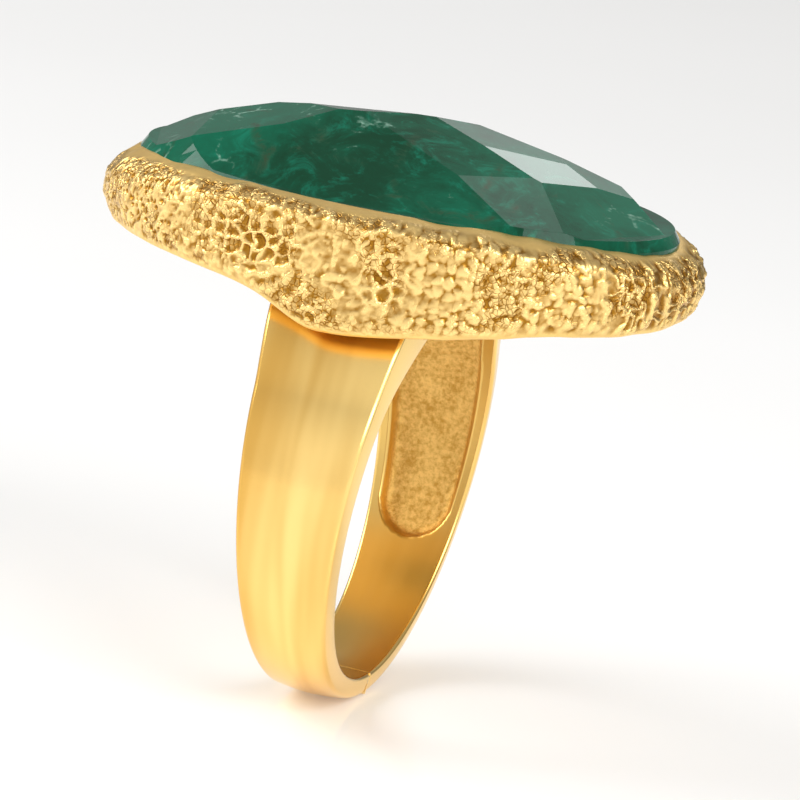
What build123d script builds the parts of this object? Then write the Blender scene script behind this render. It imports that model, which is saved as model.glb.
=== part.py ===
from build123d import *
import os
from math import cos, radians, sin

# A cocktail ring, in mm. X runs along the finger, Z up to the stone, origin in the middle of the finger hole.
# An oval stone sits in a textured collar, on a bearing ring and an open back plate. The shank below is two
# halves, closed by a solder seam at the bottom and soldered to the head at its shoulders.

# finger hole and shank
fingerR = 8.65
bottomThickness = 0.95
shoulderGain = 0.45
bottomHalfWidth = 1.52
shoulderHalfWidth = 2.81
shoulderZ = 6.5
edgeLean = 0.12
crown = 0.10
seamWidth = 0.10
footY = 2.9
beadReach, beadLowZ = 6.7, 7.75

# sand-blasted pocket inside each shoulder
pocketDepth = 0.60
pocketEndZ = -4.3
pocketTopZ = 7.5
pocketEndHalf = 1.66
pocketTopHalf = 2.35
pocketFillet = 0.30

# the lofted band: last section on each side, angle between sections, stock left inside the finger hole
loftEnd, loftStep, boreStock = 170, 17, 0.6

# solder bead: heights of its belly and the reach of its belly and toe from the middle, air left round the hole
bellyZ, bellyReach, toeReach, holeAir = 8.45, 5.98, 5.95, 0.3

# larger than any part of the ring, for cutting tools
beyond = 20

# head: semi-axes of the oval are along X and Y
collarA, collarB = 13.25, 9.55
collarLowZ = 8.10
undersideBow = 1.05
ridgeInset, ridgeZ = 0.30, 12.30
lipA, lipB, lipZ = 11.39, 7.95, 12.86
plateLowZ, plateTopZ = 9.05, 9.70
windowA, windowB = 5.2, 2.5

# stone
girdleA, girdleB = 11.80, 8.30
backZ, girdleLowZ, girdleTopZ, girdleRimZ = 11.20, 11.85, 12.36, 12.80
backInset = 0.75
bevelSlope = 1.6
blankTopZ = 16.6
seatA, seatB = 9.9, 6.4

os.makedirs("parts", exist_ok=True)


def oval(a, b, z):
    return Pos(0, 0, z) * make_face(Ellipse(a, b).wire())


def column(a, b, z0, z1):
    return extrude(oval(a, b, z0), z1 - z0)


def frustum(a0, b0, z0, a1, b1, z1):
    return loft([oval(a0, b0, z0), oval(a1, b1, z1)], ruled=True)


def finger(radius):
    return Rot(0, 90, 0) * Cylinder(radius, 2 * beyond)


def bandHalfWidth(z):
    bottomZ = -(fingerR + bottomThickness)
    return bottomHalfWidth + (shoulderHalfWidth - bottomHalfWidth) * (z - bottomZ) / (shoulderZ - bottomZ)


def bandSection(angle):
    """Cut across the band, angle in degrees from the bottom of the hoop, positive towards +Y."""
    rise = (1 - cos(radians(angle))) / 2
    outerR = fingerR + bottomThickness + shoulderGain * rise**3
    half = bandHalfWidth(-outerR * cos(radians(angle)))
    innerR = fingerR - boreStock
    line = Polyline((half, -outerR), (half + edgeLean, -fingerR), (half + edgeLean, -innerR),
                    (-half - edgeLean, -innerR), (-half - edgeLean, -fingerR), (-half, -outerR))
    top = ThreePointArc((-half, -outerR), (0, -outerR - crown), (half, -outerR))
    return Rot(angle, 0, 0) * Plane.XZ.location * make_face(line + top)


def slab(y0, y1, z0=-beyond, z1=beyond):
    return Pos(0, (y0 + y1) / 2, (z0 + z1) / 2) * Box(2 * beyond, y1 - y0, z1 - z0)


def hoop():
    """The whole band with its finger hole, from foot to foot, before it is divided."""
    angles = range(-loftEnd, loftEnd + 1, loftStep)
    band = loft([bandSection(angle) for angle in angles]) - finger(fingerR)
    return band - slab(-footY, footY, 0, beyond) - slab(-beyond, beyond, plateLowZ, beyond)


def pocketCutter(side):
    """A slot with a round lower end, cut from the bore outwards, with its floor edges rounded."""
    round0 = pocketEndZ + pocketEndHalf
    sides = Polyline((pocketEndHalf, round0), (pocketTopHalf, pocketTopZ),
                     (-pocketTopHalf, pocketTopZ), (-pocketEndHalf, round0))
    end = ThreePointArc((-pocketEndHalf, round0), (0, pocketEndZ), (pocketEndHalf, round0))
    slot = extrude(Plane.XZ.location * make_face(sides + end), -side * beyond)
    tool = slot & finger(fingerR + pocketDepth)
    floor = tool.edges().filter_by(lambda e: abs(e.center().X) > 0.5 * pocketEndHalf
                                   and abs((e @ 0.5).Y**2 + (e @ 0.5).Z**2 - (fingerR + pocketDepth)**2) < 0.01)
    return fillet(floor, pocketFillet)


def shankHalf(band, side):
    half = band & (slab(seamWidth / 2, beyond) if side > 0 else slab(-beyond, -seamWidth / 2))
    return half - pocketCutter(side)


def seam(band):
    return band & slab(-seamWidth / 2, seamWidth / 2)


def shoulderSolder(band, side):
    """The bead in the corner between a shoulder's outer face and the underside of the back plate."""
    top, toe, heel = (side * beadReach, plateLowZ), (side * toeReach, beadLowZ), (side * footY, beadLowZ)
    bead = ThreePointArc(top, (side * bellyReach, bellyZ), toe)
    back = Polyline(toe, heel, (side * footY, plateLowZ), top)
    half = bandHalfWidth(plateLowZ) - edgeLean
    outline = Plane.YZ.location * make_face(bead + back)
    return extrude(Pos(-half, 0, 0) * outline, 2 * half) - band - finger(fingerR + holeAir)


def underside():
    """A large barrel that trims the collar's lower edge, so that it climbs towards both ends of the oval."""
    barrelR = collarA**2 / (2 * undersideBow)
    return Pos(0, 0, collarLowZ + barrelR) * Rot(90, 0, 0) * Cylinder(barrelR, 2 * beyond)


def backPlate():
    plate = column(girdleA, girdleB, plateLowZ, plateTopZ)
    return plate - column(windowA, windowB, plateLowZ - 1, plateTopZ + 1)


def bearingRing():
    return column(girdleA, girdleB, plateTopZ, backZ) - column(seatA, seatB, plateTopZ - 1, backZ + 1)


def stoneBlank():
    blank = column(girdleA, girdleB, girdleLowZ, girdleTopZ)
    blank += frustum(girdleA - backInset, girdleB - backInset, backZ, girdleA, girdleB, girdleLowZ)
    fall = (blankTopZ - girdleTopZ) / bevelSlope
    return blank + frustum(girdleA, girdleB, girdleTopZ, girdleA - fall, girdleB - fall, blankTopZ)


def collar():
    wallA, wallB = collarA - ridgeInset, collarB - ridgeInset
    body = frustum(collarA, collarB, collarLowZ, wallA, wallB, ridgeZ)
    body += frustum(wallA, wallB, ridgeZ, lipA, lipB, lipZ)
    body = body & underside()
    body -= column(girdleA, girdleB, collarLowZ - 1, girdleLowZ)
    return body - stoneBlank()


# each row is one polished face: compass angle from +X, tilt from level, height where its plane crosses Z
facets = [(-161, 31.5, 19.40), (-149, 17.5, 16.70), (145, 6.5, 15.70), (-56.7, 16.1, 15.80), (-15.6, 13.05, 15.85),
          (-55.7, 18.4, 16.04), (-6, 14.8, 16.15), (-23.8, 21.5, 16.88), (-17.5, 13.7, 15.89), (-102, 34, 18.10),
          (-83, 25, 16.41), (151, 21.5, 17.10), (113.5, 15.6, 15.63), (33, 49.8, 23.94), (78, 29.7, 16.61),
          (70.5, 35, 17.53), (142, 33, 19.40), (172, 31, 19.60)]


def stone():
    gem = stoneBlank()
    for angle, tilt, height in facets:
        t, a = radians(tilt), radians(angle)
        plane = Plane((0, 0, height), z_dir=(sin(t) * cos(a), sin(t) * sin(a), cos(t)))
        gem = split(gem, plane, Keep.BOTTOM)
    return gem + (stoneBlank() & column(girdleA, girdleB, backZ, girdleRimZ))


def build():
    band = hoop()
    parts = {"emerald": stone(), "bezel_collar": collar(), "bearing_ring": bearingRing(), "back_plate": backPlate(),
             "sizing_solder": seam(band)}
    for name, side in (("front", -1), ("rear", 1)):
        parts["shank_" + name] = shankHalf(band, side)
        parts["shoulder_solder_" + name] = shoulderSolder(band, side)
    for name, shape in parts.items():
        export_step(shape, "parts/" + name + ".step")


build()
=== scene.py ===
import bpy, bmesh
import numpy as np
from math import cos, pi, radians, sin
from mathutils import Matrix, Vector


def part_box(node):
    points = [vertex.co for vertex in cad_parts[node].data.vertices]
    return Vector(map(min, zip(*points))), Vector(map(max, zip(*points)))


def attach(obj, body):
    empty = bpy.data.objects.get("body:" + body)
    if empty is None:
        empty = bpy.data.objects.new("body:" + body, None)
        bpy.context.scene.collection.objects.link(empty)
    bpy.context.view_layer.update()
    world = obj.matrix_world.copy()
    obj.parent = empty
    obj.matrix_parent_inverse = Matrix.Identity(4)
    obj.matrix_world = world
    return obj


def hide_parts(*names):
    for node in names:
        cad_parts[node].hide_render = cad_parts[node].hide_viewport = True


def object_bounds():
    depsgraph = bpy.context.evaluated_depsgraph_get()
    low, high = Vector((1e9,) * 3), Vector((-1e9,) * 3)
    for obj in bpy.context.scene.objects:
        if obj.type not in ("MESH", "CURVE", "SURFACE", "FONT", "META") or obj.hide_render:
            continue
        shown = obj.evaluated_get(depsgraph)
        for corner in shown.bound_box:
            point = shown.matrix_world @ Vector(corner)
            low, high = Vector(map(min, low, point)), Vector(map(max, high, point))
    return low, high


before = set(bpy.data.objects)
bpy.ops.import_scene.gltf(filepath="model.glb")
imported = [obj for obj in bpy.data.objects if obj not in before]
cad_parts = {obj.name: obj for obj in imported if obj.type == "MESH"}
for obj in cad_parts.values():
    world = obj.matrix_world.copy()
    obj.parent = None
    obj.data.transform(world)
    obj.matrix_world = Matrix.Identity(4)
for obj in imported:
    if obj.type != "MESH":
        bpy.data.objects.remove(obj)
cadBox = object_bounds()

mm = 0.001
hair = 0.01
endLimit = min(-cadBox[0][0], cadBox[1][0]) / mm - hair
floorZ = cadBox[0][2] / mm


# shader helper: a socket that can be used in sums

class Wire:
    def __init__(self, tree, socket=None):
        self.tree = tree
        self.socket = socket

    def node(self, kind, settings=None, inputs=None, out=0):
        made = self.tree.nodes.new("ShaderNode" + kind)
        for name, value in (settings or {}).items():
            setattr(made, name, value)
        for key, value in (inputs or {}).items():
            if isinstance(value, Wire):
                self.tree.links.new(value.socket, made.inputs[key])
            else:
                made.inputs[key].default_value = value
        return Wire(self.tree, made.outputs[out] if made.outputs else None)

    def sum(self, operation, *values):
        return self.node("Math", dict(operation=operation), dict(enumerate(values)))

    def __add__(self, other):
        return self.sum("ADD", self, other)

    def __radd__(self, other):
        return self.sum("ADD", other, self)

    def __sub__(self, other):
        return self.sum("SUBTRACT", self, other)

    def __rsub__(self, other):
        return self.sum("SUBTRACT", other, self)

    def __mul__(self, other):
        return self.sum("MULTIPLY", self, other)

    def __rmul__(self, other):
        return self.sum("MULTIPLY", other, self)

    def band(self, low, high):
        # 0 below low, 1 above high, smooth between
        return self.node("MapRange", dict(interpolation_type="SMOOTHSTEP"), {0: self, 1: low, 2: high})

    def mix(self, a, b):
        # self is the factor between two colours
        return self.node("Mix", dict(data_type="RGBA"), {0: self, 6: a, 7: b}, out=2)


def rgb(r, g, b):
    return (r, g, b, 1.0)


def newMaterial(name):
    material = bpy.data.materials.new(name)
    material.use_nodes = True
    material.node_tree.nodes.clear()
    return material, Wire(material.node_tree)


def finish(start, surface):
    start.node("OutputMaterial", inputs={"Surface": surface})


# gold

# inside: painted shade for the bore, the ring's inner surface
# shade and bright: the band's painted reflection streaks
gold = dict(bright=rgb(1.0, 0.70, 0.25), shade=rgb(0.74, 0.43, 0.10), inside=rgb(0.70, 0.46, 0.13),
            # skin and deep: painted highlight on the collar's raised skin and painted shade in its hollows
            skin=rgb(1.0, 0.70, 0.27), deep=rgb(0.36, 0.165, 0.018), rim=rgb(1.0, 0.70, 0.25),
            pit=rgb(0.56, 0.31, 0.06), pocketBody=rgb(0.90, 0.61, 0.20), solder=rgb(1.0, 0.80, 0.42))


def polishedGold():
    # band: satin polish with soft painted reflection streaks along it, painted shade on the bore, and a
    # blasted finish where the pocket mask is on
    material, start = newMaterial("polishedGold")
    place = start.node("TexCoord", out="Object")
    pocket = start.node("Attribute", dict(attribute_name="pocket"), out="Fac")
    bore = start.node("Attribute", dict(attribute_name="bore"), out="Fac")
    lines = start.node("Mapping", inputs={"Vector": place, "Scale": (2600, 350, 350)})
    drawn = start.node("TexNoise", inputs={"Vector": lines, "Scale": 1.0, "Detail": 2.0})
    along = start.node("Mapping", inputs={"Vector": place, "Scale": (560, 60, 60)})
    paintedReflectionStreak = start.node("TexNoise", inputs={"Vector": along, "Scale": 1.0, "Detail": 2.0, "Distortion": 0.3})
    grain = start.node("TexNoise", inputs={"Vector": place, "Scale": 4200.0, "Detail": 5.0, "Roughness": 0.7})
    blotch = start.node("TexNoise", inputs={"Vector": place, "Scale": 800.0, "Detail": 5.0,
                                            "Roughness": 0.65})
    # painted reflection: soft darker and brighter streaks along the band stand in for the studio's
    # reflections
    polished = paintedReflectionStreak.band(0.28, 0.72).mix(gold["shade"], gold["bright"])
    # painted shade: the bore, inside the ring, is mixed toward a darker gold
    polished = (bore * 0.8).mix(polished, gold["inside"])
    blasted = (blotch * 0.35 + grain * 0.75).band(0.38, 0.70).mix(gold["pit"], gold["pocketBody"])
    colour = pocket.mix(polished, blasted)
    rough = 0.17 + drawn * 0.07 + bore * 0.10 + pocket * (0.12 + grain * 0.16)
    height = drawn * 0.02 + pocket * (grain * 1.6 + blotch * 1.2)
    bump = start.node("Bump", inputs={"Strength": 0.6, "Distance": 0.00007, "Height": height})
    shade = start.node("BsdfPrincipled", inputs={"Base Color": colour, "Metallic": 1.0, "Roughness": rough,
                                                 "Normal": bump})
    finish(start, shade)
    return material


def textureGold():
    # collar: bright painted highlight on the raised skin, brown painted shade in the grooves, burnished
    # smooth on the rim
    material, start = newMaterial("texturedGold")
    place = start.node("TexCoord", out="Object")
    relief = start.node("Attribute", dict(attribute_name="relief"), out="Fac")
    rim = start.node("Attribute", dict(attribute_name="rim"), out="Fac")
    grain = start.node("TexNoise", inputs={"Vector": place, "Scale": 3600.0, "Detail": 5.0, "Roughness": 0.6})
    patch = start.node("TexNoise", inputs={"Vector": place, "Scale": 420.0, "Detail": 3.0})
    bend = start.node("TexNoise", inputs={"Vector": place, "Scale": 1900.0, "Detail": 2.0}, out="Color")
    bent = start.node("Mix", dict(data_type="VECTOR"), {0: 0.00025, 4: place, 5: bend}, out=1)
    cells = start.node("TexVoronoi", dict(feature="DISTANCE_TO_EDGE"), {"Vector": bent, "Scale": 4300.0})
    groove = (1 - cells.band(0.0, 0.16)) * patch.band(0.42, 0.62) * (1 - rim)
    # painted highlight and shade: brighter gold where the relief is raised, brown gold in its hollows and
    # cracks; grain and patches add random tone
    lit = (relief * 0.85 + grain * 0.3 + patch * 0.15 - groove * 0.25).band(0.30, 0.88)
    colour = lit.mix(gold["deep"], gold["skin"])
    colour = (rim * 0.8).mix(colour, gold["rim"])
    rough = 0.30 - relief * 0.10 + grain * 0.12 + rim * 0.12
    height = grain * (1.1 - rim * 0.8) - groove * 1.4
    bump = start.node("Bump", inputs={"Strength": 0.6, "Distance": 0.00004, "Height": height})
    shade = start.node("BsdfPrincipled", inputs={"Base Color": colour, "Metallic": 1.0, "Roughness": rough,
                                                 "Normal": bump})
    finish(start, shade)
    return material


def solderGold():
    material, start = newMaterial("solderGold")
    place = start.node("TexCoord", out="Object")
    grain = start.node("TexNoise", inputs={"Vector": place, "Scale": 1500.0, "Detail": 4.0})
    colour = grain.band(0.3, 0.7).mix(gold["pocketBody"], gold["solder"])
    bump = start.node("Bump", inputs={"Strength": 0.4, "Distance": 0.00004, "Height": grain})
    shade = start.node("BsdfPrincipled", inputs={"Base Color": colour, "Metallic": 1.0,
                                                 "Roughness": 0.2 + grain * 0.15, "Normal": bump})
    finish(start, shade)
    return material


# green stone

stone = dict(deep=rgb(0.0, 0.040, 0.016), green=rgb(0.0, 0.115, 0.060), pale=rgb(0.004, 0.190, 0.115),
             brown=rgb(0.030, 0.026, 0.006), milk=rgb(0.30, 0.50, 0.40), ior=1.30, bevel=0.05,
             duller=((-15.6, 13.05), (-6.0, 14.8)), alike=0.5)  # faces by compass angle and tilt, degrees


def cloudedGreen():
    material, start = newMaterial("cloudedGreen")
    place = start.node("TexCoord", out="Object")
    scuff = start.node("Attribute", dict(attribute_name="scuff"), out="Fac")
    cloud = start.node("TexNoise", inputs={"Vector": place, "Scale": 210.0, "Detail": 7.0, "Roughness": 0.66,
                                           "Distortion": 0.5})
    wisp = start.node("TexNoise", inputs={"Vector": place, "Scale": 520.0, "Detail": 6.0, "Roughness": 0.72,
                                          "Distortion": 1.2})
    fleck = start.node("TexNoise", inputs={"Vector": place, "Scale": 2300.0, "Detail": 3.0, "Roughness": 0.6})
    bend = start.node("TexNoise", inputs={"Vector": place, "Scale": 500.0, "Detail": 4.0}, out="Color")
    bent = start.node("Mix", dict(data_type="VECTOR"), {0: 0.0011, 4: place, 5: bend}, out=1)
    vein = start.node("TexVoronoi", dict(feature="DISTANCE_TO_EDGE"), {"Vector": bent, "Scale": 210.0})
    veinMask = (1 - vein.band(0.0, 0.07)) * wisp.band(0.48, 0.66)
    crack = start.node("TexVoronoi", dict(feature="DISTANCE_TO_EDGE"), {"Vector": bent, "Scale": 760.0})
    flawMask = (1 - crack.band(0.0, 0.09)) * cloud.band(0.56, 0.66) * fleck.band(0.42, 0.58)
    depth = start.node("TexNoise", inputs={"Vector": place, "Scale": 95.0, "Detail": 2.0})
    body = (cloud * 0.45 + wisp * 0.2 + depth * 0.5).band(0.42, 0.66).mix(stone["deep"], stone["green"])
    body = (wisp.band(0.50, 0.70) * 0.55).mix(body, stone["pale"])
    body = (fleck.band(0.60, 0.75) * wisp.band(0.42, 0.60) * 0.45).mix(body, stone["pale"])
    body = (veinMask * 0.75).mix(body, stone["brown"])
    body = (flawMask * 0.9).mix(body, stone["milk"])
    rough = 0.03 + wisp * 0.04 + scuff * 0.27
    shade = start.node("BsdfPrincipled", inputs={"Base Color": body, "Roughness": rough, "IOR": stone["ior"]})
    finish(start, shade)
    return material


# mesh helpers

def addPiece(name, points, faces, material, masks, node):
    mesh = bpy.data.meshes.new(name)
    mesh.from_pydata([tuple(p) for p in points], [], faces)
    mesh.shade_smooth()
    for key, values in masks.items():
        layer = mesh.attributes.new(key, "FLOAT", "POINT")
        layer.data.foreach_set("value", np.asarray(values, dtype=np.float32).ravel())
    mesh.materials.append(material)
    piece = bpy.data.objects.new(name, mesh)
    bpy.context.scene.collection.objects.link(piece)
    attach(piece, "root")
    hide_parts(node)


def loopFaces(rings, perRing, closed, flip):
    # quads between rings of points; each ring closes on itself, and closed joins the last ring to the first
    faces = []
    for i in range(rings if closed else rings - 1):
        j = (i + 1) % rings
        for k in range(perRing):
            m = (k + 1) % perRing
            quad = (i * perRing + k, i * perRing + m, j * perRing + m, j * perRing + k)
            faces.append(quad[::-1] if flip else quad)
    return faces


def scuffOf(normal):
    # a duller polish on two gently sloping faces beside the brightest one
    for azimuth, tilt in stone["duller"]:
        a, t = radians(azimuth), radians(tilt)
        if normal.dot(Vector((sin(t) * cos(a), sin(t) * sin(a), cos(t)))) > cos(radians(stone["alike"])):
            return 1.0
    return 0.0


def softened(node, material, width, angle=20, flat=False):
    # a CAD node's own shape with its edges eased
    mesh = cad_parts[node].data.copy()
    mesh.materials.clear()
    mesh.materials.append(material)
    work = bmesh.new()
    work.from_mesh(mesh)
    bmesh.ops.remove_doubles(work, verts=work.verts, dist=1e-6)
    bmesh.ops.dissolve_limit(work, angle_limit=radians(0.6), verts=work.verts, edges=work.edges)
    sharp = [e for e in work.edges if len(e.link_faces) == 2 and e.calc_face_angle(0) > radians(angle)]
    bmesh.ops.bevel(work, geom=sharp, offset=width * mm, segments=2, profile=0.6, affect="EDGES",
                    clamp_overlap=True)
    work.to_mesh(mesh)
    work.free()
    if flat:
        mesh.shade_flat()
        scuffs = mesh.attributes.new("scuff", "FLOAT", "FACE")
        scuffs.data.foreach_set("value", [scuffOf(face.normal) for face in mesh.polygons])
    else:
        mesh.shade_smooth()
        mesh.set_sharp_from_angle(angle=radians(32))
    piece = bpy.data.objects.new(node + "Eased", mesh)
    bpy.context.scene.collection.objects.link(piece)
    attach(piece, "root")
    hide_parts(node)


# relief maths: u runs round the head, v runs down the wall, both in mm

reliefLength = 72.0


def drift(u, v, size, seed):
    # smooth random waves about 0, closed on itself in u
    rng = np.random.default_rng(seed)
    columns = max(2, int(round(reliefLength / size)))
    rows = 64
    grid = rng.random((columns, rows)) * 2 - 1
    a, b = u / reliefLength * columns, v / size + 20
    ia, ib = np.floor(a).astype(int), np.floor(b).astype(int)
    fa, fb = a - ia, b - ib
    fa, fb = fa * fa * (3 - 2 * fa), fb * fb * (3 - 2 * fb)

    def pick(i, j):
        return grid[i % columns, j % rows]

    top = pick(ia, ib) * (1 - fa) + pick(ia + 1, ib) * fa
    low = pick(ia, ib + 1) * (1 - fa) + pick(ia + 1, ib + 1) * fa
    return top * (1 - fb) + low * fb


def beads(u, v, size, seed):
    # distances, in units of size, to the nearest and next nearest of one jittered dot per cell
    rng = np.random.default_rng(seed)
    columns = int(round(reliefLength / size))
    rows = 128
    dots = rng.random((columns, rows, 3))
    a, b = u / reliefLength * columns, v / size + 40
    ia, ib = np.floor(a).astype(int), np.floor(b).astype(int)
    first, second, tag = np.full(u.shape, 9.0), np.full(u.shape, 9.0), np.zeros(u.shape)
    for du in (-1, 0, 1):
        for dv in (-1, 0, 1):
            spot = dots[(ia + du) % columns, (ib + dv) % rows]
            d = np.hypot(ia + du + 0.15 + 0.7 * spot[..., 0] - a, ib + dv + 0.15 + 0.7 * spot[..., 1] - b)
            closer = d < first
            second = np.where(closer, first, np.minimum(second, d))
            tag = np.where(closer, spot[..., 2], tag)
            first = np.where(closer, d, first)
    return first, second, tag


def step(x, low, high):
    t = np.clip((x - low) / (high - low), 0, 1)
    return t * t * (3 - 2 * t)


def around(height):
    # the height averaged over a patch of about half a millimetre
    for axis, reach in ((0, 5), (1, 9)):
        height = sum(np.roll(height, n, axis) for n in range(-reach, reach + 1)) / (2 * reach + 1)
    return height


def hump(x, y, cx, cy, rx, ry):
    return np.exp(-((x - cx) / rx)**2 - ((y - cy) / ry)**2)


# collar

collar = dict(lipA=11.39, lipB=7.95, lipZ=12.84, lipFall=0.50, lipLeft=0.42, lipRight=-0.05,
              ridgeOut=1.36, ridgeZ=12.28, ridgeFallLeft=1.35, ridgeFallRight=0.62, ridgeLeft=0.34,
              wallOut=1.43, wallLeft=0.27, wallRight=0.22, lowZ=9.2, lowOut=1.42, endRise=0.35,
              swell=1.55, swellRight=7.5, swellLeft=2.4, swellTail=6.0, swellOut=0.10,
              seatOut=0.41, endStart=12.2, endStop=13.2, bunching=0.34, deepest=0.16,
              columns=1100, rimRows=18, cornerRows=8, wallRows=50, footRows=6, underRows=8, innerRows=4,
              lipRows=2)


def lowerEdge(x):
    # the wall's foot: it sags over each shoulder, with a steep left flank and a long right one
    c = collar
    left = 0.62 * np.exp(-(x / c["swellLeft"])**2) + 0.38 * np.exp(-(x / c["swellTail"])**2)
    sag = c["swell"] * np.where(x < 0, left, np.exp(-(x / c["swellRight"])**2))
    return c["lowZ"] + c["endRise"] * step(x, c["endStart"], c["endStop"]) - sag, sag / c["swell"]


def collarSkin(material):
    c = collar
    even = np.linspace(0, 2 * pi, c["columns"], endpoint=False)
    phi = even - c["bunching"] * np.cos(even)  # closer columns on the near side, where the detail is seen
    co, si = np.cos(phi), np.sin(phi)
    left, right = np.clip(-co, 0, 1), np.clip(co, 0, 1)
    u0 = phi / (2 * pi) * reliefLength

    def wave(size, seed):
        return drift(u0, np.zeros_like(u0), size, seed)

    lipO = c["lipLeft"] * left**6 + c["lipRight"] * right**6 + 0.07 * wave(4.5, 1) + 0.03 * wave(1.4, 2)
    lipZ = c["lipZ"] - c["lipFall"] * co**2 * np.abs(co) + 0.05 * wave(5.0, 3)
    ridgeO = c["ridgeOut"] + c["ridgeLeft"] * left**4 + 0.08 * wave(3.5, 4)
    ridgeZ = c["ridgeZ"] - c["ridgeFallLeft"] * left**4 - c["ridgeFallRight"] * right**4 + 0.08 * wave(4.0, 5)
    wallO = c["wallOut"] + c["wallLeft"] * left**2 + c["wallRight"] * right**2 + 0.05 * wave(5.0, 6)
    lowZ, sag = lowerEdge((c["lipA"] + c["lowOut"]) * co)
    lowZ = lowZ + 0.05 * wave(3.0, 7) + 0.03 * wave(1.1, 9)
    lowO = c["lowOut"] + 0.05 * wave(4.5, 8) + c["swellOut"] * sag
    seat = np.full_like(phi, c["seatOut"])
    # section from the lip over the rim, down the wall and back up inside: out, height, rows to the next
    rimHalf = c["rimRows"] // 2
    wallHalf = (c["wallRows"] - c["cornerRows"]) // 2
    underHalf = c["underRows"] // 2
    keys = [
        (lipO, lipZ, rimHalf),
        ((lipO + ridgeO) / 2 + 0.05, (lipZ + ridgeZ) / 2 + 0.10, rimHalf),
        (ridgeO, ridgeZ, c["cornerRows"]),
        (wallO, ridgeZ - 0.55, wallHalf),
        (wallO, (ridgeZ + lowZ) / 2, wallHalf),
        (lowO + 0.05, lowZ + 0.6, c["footRows"]),
        (lowO - 0.18, lowZ + 0.05, underHalf),
        (lowO - 0.5, lowZ, underHalf),
        (seat, lowZ + 0.1, c["innerRows"]),
        (seat, lipZ - 0.25, c["lipRows"]),
        (np.minimum(seat, lipO + 0.12), lipZ - 0.12, c["lipRows"]),
    ]
    outs, heights = [], []
    for n, (o0, z0, count) in enumerate(keys):
        o1, z1, _ = keys[(n + 1) % len(keys)]
        for t in np.linspace(0, 1, count, endpoint=False):
            outs.append(o0 + (o1 - o0) * t)
            heights.append(z0 + (z1 - z0) * t)
    out, z = np.array(outs), np.array(heights)
    for _ in range(3):  # ease the corners
        out = (np.roll(out, 1, 0) + 2 * out + np.roll(out, -1, 0)) / 4
        z = (np.roll(z, 1, 0) + 2 * z + np.roll(z, -1, 0)) / 4
    a, b = c["lipA"] + out, c["lipB"] + out
    x, y = a * co, b * si
    nx, ny = b * co, a * si
    size = np.hypot(nx, ny)
    nx, ny = nx / size, ny / size
    # section normal, outwards
    dOut, dZ = np.roll(out, -1, 0) - np.roll(out, 1, 0), np.roll(z, -1, 0) - np.roll(z, 1, 0)
    run = np.hypot(dOut, dZ) + 1e-9
    radial, rise = -dZ / run, dOut / run
    u = np.broadcast_to(u0, out.shape)
    v = lipZ - z
    rows = np.arange(len(out))[:, None] + np.zeros_like(out)
    rimEnd, wallEnd = c["rimRows"], c["rimRows"] + c["wallRows"]
    inner = step(rows, wallEnd + 2, wallEnd + 6) + step(-rows, -1.5, 0.5)
    edge = rimEnd - 8.0 + 4.0 * drift(u, v, 2.6, 20) + 2.5 * drift(u, v, 0.9, 21)
    rough = step(rows - edge, -2.5, 2.5) * (1 - inner)
    height = reliefOf(x, y, z, u, v)
    lump = 0.045 * drift(u, v, 1.7, 30) + 0.03 * drift(u, v, 0.9, 31)
    push = height * rough + lump * (1 - inner)
    reach = np.minimum(push, c["deepest"])
    x = x + nx * radial * reach
    y = y + ny * radial * reach
    z = z + rise * reach
    x = np.clip(x, -endLimit, endLimit)
    points = np.stack([x, y, z], -1).reshape(-1, 3) * mm
    faces = loopFaces(len(out), c["columns"], True, flip=True)
    # relief: the skin's height less its local mean, painted as highlight where raised and as shade where
    # sunken
    masks = dict(relief=np.clip(0.52 + (push - around(push)) * 7.0, 0, 1), rim=1 - rough)
    addPiece("collarSkin", points, faces, material, masks, "bezel_collar")


moltenSkin = dict(net=0.56, granule=0.36, pore=0.27, flake=0.42, wrinkle=0.34, crumb=0.24,
                  netDeep=1.3, flakeShare=0.4, netPatch=(-3.4, 10.7, 2.1, 1.0), netSpot=(2.4, 10.1, 0.8, 1.0),
                  granuleSpot=(4.0, 9.0, 3.5, 0.7), granuleFrom=(2.4, 4.2), wrinkleFrom=(10.0, 11.5),
                  poreFrom=(6.0, 9.0))


def crest(u, v, size, seed):
    # thin raised creases, 0..1
    return 1 - np.clip(np.abs(drift(u, v, size, seed)) * 2.6, 0, 1)


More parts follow.
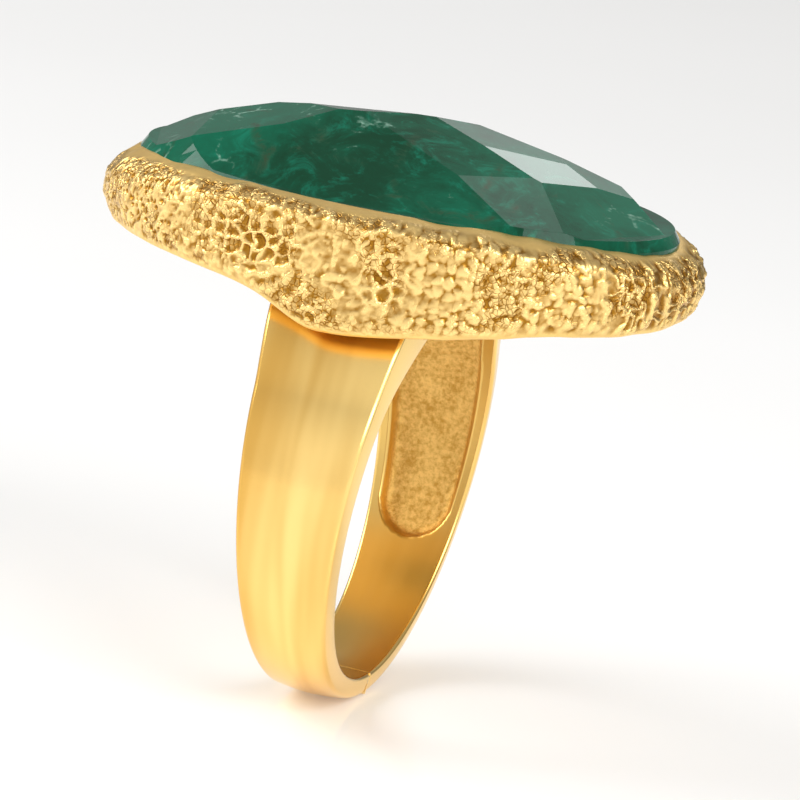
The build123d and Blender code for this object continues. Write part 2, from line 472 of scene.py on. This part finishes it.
def reliefOf(x, y, z, u, v):
    # molten skin: open net, packed granules, fine pores and flakes, each with its own ground
    r = moltenSkin
    near = step(-y, -2, 1.5)
    wu = u + 0.16 * drift(u, v, 0.55, 11) + 0.05 * drift(u, v, 0.2, 12)
    wv = v + 0.16 * drift(u, v, 0.55, 13) + 0.05 * drift(u, v, 0.2, 14)
    f1, f2, tag = beads(wu, wv, r["net"], 41)
    net = 0.13 * np.exp(-((f2 - f1) / 0.20)**2) - 0.05 - 0.06 * step(tag, 0.72, 0.85)
    g1, _, gTag = beads(wu, wv, r["granule"], 42)
    granule = 0.12 * np.sqrt(np.clip(1 - (g1 / 0.66)**2, 0, 1)) * (0.35 + 0.65 * gTag) - 0.06
    p1, _, pTag = beads(wu, wv, r["pore"], 43)
    pore = 0.035 - 0.13 * np.exp(-(p1 / 0.33)**2) * step(pTag, 0.30, 0.55)
    slanted = crest(u * 0.75 + v * 0.65, v * 0.75 - u * 0.25, r["flake"], 44)
    flake = 0.07 * slanted * step(drift(u, v, 1.1, 48), -0.35, 0.15)
    wrinkle = 0.13 * crest(wu, wv, r["wrinkle"], 45) - 0.06
    k1, _, kTag = beads(wu, wv, r["crumb"], 49)
    crumb = 0.06 * step(kTag, 0.55, 0.7) * np.sqrt(np.clip(1 - (k1 / 0.6)**2, 0, 1))
    # where each of them lies: placed on the near side, scattered behind
    place = 0.5 + 0.5 * drift(u, v, 3.2, 47)
    netOn = np.maximum(near * hump(x, z, *r["netPatch"]), 0.9 * near * hump(x, z, *r["netSpot"]))
    netOn = np.maximum(netOn, (1 - near) * step(place, 0.72, 0.85))
    wrinkleOn = step(x, *r["wrinkleFrom"])
    granuleOn = near * step(x, *r["granuleFrom"]) * (1 - wrinkleOn)
    granuleOn = np.maximum(granuleOn, (1 - near) * step(place, 0.35, 0.6))
    granuleOn = np.maximum(granuleOn, 0.8 * near * hump(x, z, *r["granuleSpot"]))
    poreOn = np.maximum(near * step(-x, *r["poreFrom"]), (1 - near) * step(-place, -0.3, -0.15))
    rest = np.clip(1 - netOn - granuleOn - poreOn - wrinkleOn, 0, 1)
    body = net * netOn * r["netDeep"] + granule * granuleOn * (1 - wrinkleOn)
    body = body + (pore + r["flakeShare"] * flake) * poreOn
    body = body + (flake + crumb - 0.035) * rest + wrinkle * wrinkleOn
    return body + 0.035 * drift(u, v, 0.6, 50) + 0.022 * drift(u, v, 0.17, 51)


# shank

shank = dict(fingerR=8.65, bottomThick=0.90, gain=0.45, bottomHalf=1.52, shoulderHalf=2.81,
             shoulderZ=6.5, lean=0.12, crown=0.15, flareLow=4.6, flareOut=1.0, flareWide=0.22,
             seamHalf=0.05, endAngle=168, steps=230, columns=46, footY=2.9, topZ=9.05, easing=0.16,
             pocketDepth=0.60, pocketLowZ=-4.30, pocketHighZ=7.50, pocketLowHalf=1.66, pocketHighHalf=2.35,
             pocketWall=0.5, pocketRim=(0.02, 0.22), offFloor=0.002)


def bandHalf(z):
    s = shank
    low = -(s["fingerR"] + s["bottomThick"])
    return s["bottomHalf"] + (s["shoulderHalf"] - s["bottomHalf"]) * (z - low) / (s["shoulderZ"] - low)


def pocketInside(x, z):
    # how far a point of the bore lies inside the pocket's outline, in mm
    s = shank
    centreZ = s["pocketLowZ"] + s["pocketLowHalf"]
    widen = (s["pocketHighHalf"] - s["pocketLowHalf"]) / (s["pocketHighZ"] - centreZ)
    straight = s["pocketLowHalf"] + widen * (z - centreZ) - np.abs(x)
    straight = np.minimum(straight, s["pocketHighZ"] - z)
    bowl = s["pocketLowHalf"] - np.hypot(x, z - centreZ)
    return np.where(z < centreZ, bowl, straight)


def shankSkin(side, name, node, material):
    s = shank
    firstAngle = np.degrees(s["seamHalf"] / (s["fingerR"] + 0.5))
    angles = np.linspace(firstAngle, s["endAngle"], s["steps"])
    across = np.sin(np.linspace(-pi / 2, pi / 2, s["columns"]))
    rings, pocketMask, boreMask = [], [], []
    for degrees in angles:
        t = radians(degrees)
        outer = s["fingerR"] + s["bottomThick"] + s["gain"] * ((1 - cos(t)) / 2)**3
        half = bandHalf(-outer * cos(t))
        lift = float(step(-outer * cos(t), s["flareLow"], s["topZ"]))
        outer += s["flareOut"] * lift
        half += s["flareWide"] * lift
        wide = half + s["lean"]
        ease = s["easing"]
        boreX = across * (wide - ease)
        inside = pocketInside(boreX, np.full_like(boreX, -s["fingerR"] * cos(t)))
        dip = np.clip(inside / s["pocketWall"], 0, 1)
        depth = s["pocketDepth"] * np.sqrt(np.clip(1 - (1 - dip)**2, 0, 1))
        bore = [(bx, s["fingerR"] + d) for bx, d in zip(boreX, depth)]
        lowTurn = np.linspace(0.3, pi / 2, 5)
        edge = [(wide - ease + ease * sin(q), s["fingerR"] + ease - ease * cos(q)) for q in lowTurn]
        highTurn = np.linspace(0.05, pi / 2 - 0.2, 5)
        top = [(half - ease + ease * cos(q), outer - ease + ease * sin(q)) for q in highTurn]
        back = across[::-1] * (half - ease)
        crown = [(bx, outer + s["crown"] * (1 - (bx / half)**2)) for bx in back]
        otherSide = [(-px, pr) for px, pr in (edge + top)[::-1]]
        section = bore + edge + top + crown + otherSide
        rings.append([(px, side * pr * sin(t), -pr * cos(t)) for px, pr in section])
        pocketMask.append(list(step(inside, *s["pocketRim"])) + [0.0] * (len(section) - len(bore)))
        # bore mask: a rougher polish and painted shade on the ring's inside
        boreMask.append([1.0] * len(bore) + [0.0] * (len(section) - len(bore)))
    points = np.array(rings)
    perRing = points.shape[1]
    points[0, :, 1] = side * s["seamHalf"]
    points = points.reshape(-1, 3)
    nearest = np.where(points[:, 2] > 0, s["footY"], s["seamHalf"])
    points[:, 1] = side * np.maximum(side * points[:, 1], nearest)
    points[:, 2] = np.clip(points[:, 2], floorZ + s["offFloor"], s["topZ"])
    faces = loopFaces(len(angles), perRing, False, flip=side > 0)
    first = list(range(perRing))
    last = list(range((len(angles) - 1) * perRing, len(angles) * perRing))
    faces += [first[::-1] if side < 0 else first, last if side < 0 else last[::-1]]
    masks = dict(pocket=pocketMask, bore=boreMask)
    addPiece(name, points * mm, faces, material, masks, node)


# stage

studio = dict(
    floorHalf=1.2, floorGlow=0.15, front=1.05, back=0.26, backLift=0.40, overhead=0.35,
    lights=[
        # the first two are small and are mirrored in two of the stone's faces
        dict(name="backSky", place=(-0.068, 0.446, 0.205), size=(0.10, 0.075), glow=3.0),
        dict(name="highSky", place=(-0.037, 0.305, 0.325), size=(0.055, 0.045), glow=0.9),
        dict(name="leftBox", place=(-0.42, -0.10, 0.34), size=(0.34, 0.34), glow=4.2),
        dict(name="rightBox", place=(0.38, -0.26, 0.32), size=(0.32, 0.32), glow=4.2),
    ])


def stageFloor(level):
    material, start = newMaterial("paleFloor")
    grain = start.node("TexNoise", inputs={"Scale": 40.0, "Detail": 2.0})
    colour = grain.band(0.2, 0.8).mix(rgb(0.975, 0.975, 0.975), rgb(0.99, 0.99, 0.99))
    shade = start.node("BsdfPrincipled", inputs={"Base Color": colour, "Roughness": 0.12,
                                                 "Specular IOR Level": 0.2, "Emission Color": colour,
                                                 "Emission Strength": studio["floorGlow"]})
    finish(start, shade)
    half = studio["floorHalf"]
    mesh = bpy.data.meshes.new("floor")
    corners = [(-half, -half, level), (half, -half, level), (half, half, level), (-half, half, level)]
    mesh.from_pydata(corners, [], [(0, 1, 2, 3)])
    mesh.materials.append(material)
    floor = bpy.data.objects.new("floor", mesh)
    bpy.context.scene.collection.objects.link(floor)


def hangLights():
    for box in studio["lights"]:
        data = bpy.data.lights.new(box["name"], "AREA")
        data.shape = "RECTANGLE"
        data.size, data.size_y = box["size"]
        data.energy = box["glow"] * pi * data.size * data.size_y
        lamp = bpy.data.objects.new(box["name"], data)
        lamp.location = box["place"]
        lamp.rotation_euler = Vector(box["place"]).to_track_quat("Z", "Y").to_euler()
        bpy.context.scene.collection.objects.link(lamp)


def lightRoom():
    world = bpy.data.worlds.new("room")
    bpy.context.scene.world = world
    world.use_nodes = True
    world.node_tree.nodes.clear()
    start = Wire(world.node_tree)
    place = start.node("TexCoord", out="Generated")
    height = start.node("SeparateXYZ", inputs={0: place}, out="Z")
    depth = start.node("SeparateXYZ", inputs={0: place}, out="Y")
    ahead = 1 - depth.band(-0.2, 0.4)
    behind = studio["back"] + height.band(0.3, 0.55) * studio["backLift"]
    level = ahead.node("Mix", None, {0: ahead, 2: behind, 3: studio["front"]})
    glow = level * (1 - height.band(0.2, 0.75) * studio["overhead"])
    start.node("OutputWorld", inputs={0: start.node("Background", inputs={0: rgb(1.0, 0.99, 0.97), 1: glow})})


# camera

camera = dict(azimuth=17.2, elevation=13.8, lean=8.8, distance=200 * mm, lens=210.5, aimRight=1.50 * mm,
              aimUp=3.09 * mm)


def placeCamera(c):
    a, e, lean = radians(c["azimuth"]), radians(c["elevation"]), radians(c["lean"])
    back = Vector((sin(a) * cos(e), -cos(a) * cos(e), sin(e)))
    level = Vector((cos(a), sin(a), 0))
    upright = back.cross(level)
    right = level * cos(lean) + upright * sin(lean)
    up = upright * cos(lean) - level * sin(lean)
    place = back * c["distance"]
    back = (place - right * c["aimRight"] - up * c["aimUp"]).normalized()
    right = (right - back * right.dot(back)).normalized()
    up = back.cross(right)
    data = bpy.data.cameras.new("camera")
    data.lens = c["lens"]
    data.sensor_width = 36
    data.clip_start = 0.01
    shot = bpy.data.objects.new("camera", data)
    shot.matrix_world = Matrix.Translation(place) @ Matrix((right, up, back)).transposed().to_4x4()
    bpy.context.scene.collection.objects.link(shot)
    bpy.context.scene.camera = shot


# build

bpy.context.scene.view_settings.view_transform = "Standard"
bandGold, skinGold, jointGold, green = polishedGold(), textureGold(), solderGold(), cloudedGreen()
print("materials made")

collarSkin(skinGold)
print("collar made")

shankSkin(-1, "shankFrontSkin", "shank_front", bandGold)
shankSkin(1, "shankRearSkin", "shank_rear", bandGold)
print("shank made")

softened("emerald", green, stone["bevel"], angle=1.5, flat=True)
softened("bearing_ring", bandGold, 0.12)
softened("back_plate", bandGold, 0.12)
for end in ("front", "rear"):
    softened("shoulder_solder_" + end, jointGold, 0.15)
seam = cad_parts["sizing_solder"]
seam.data.materials.clear()
seam.data.materials.append(jointGold)
print("stone, ring and plate eased")

stageFloor(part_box("shank_front")[0][2])
hangLights()
lightRoom()
placeCamera(camera)
print("stage set")
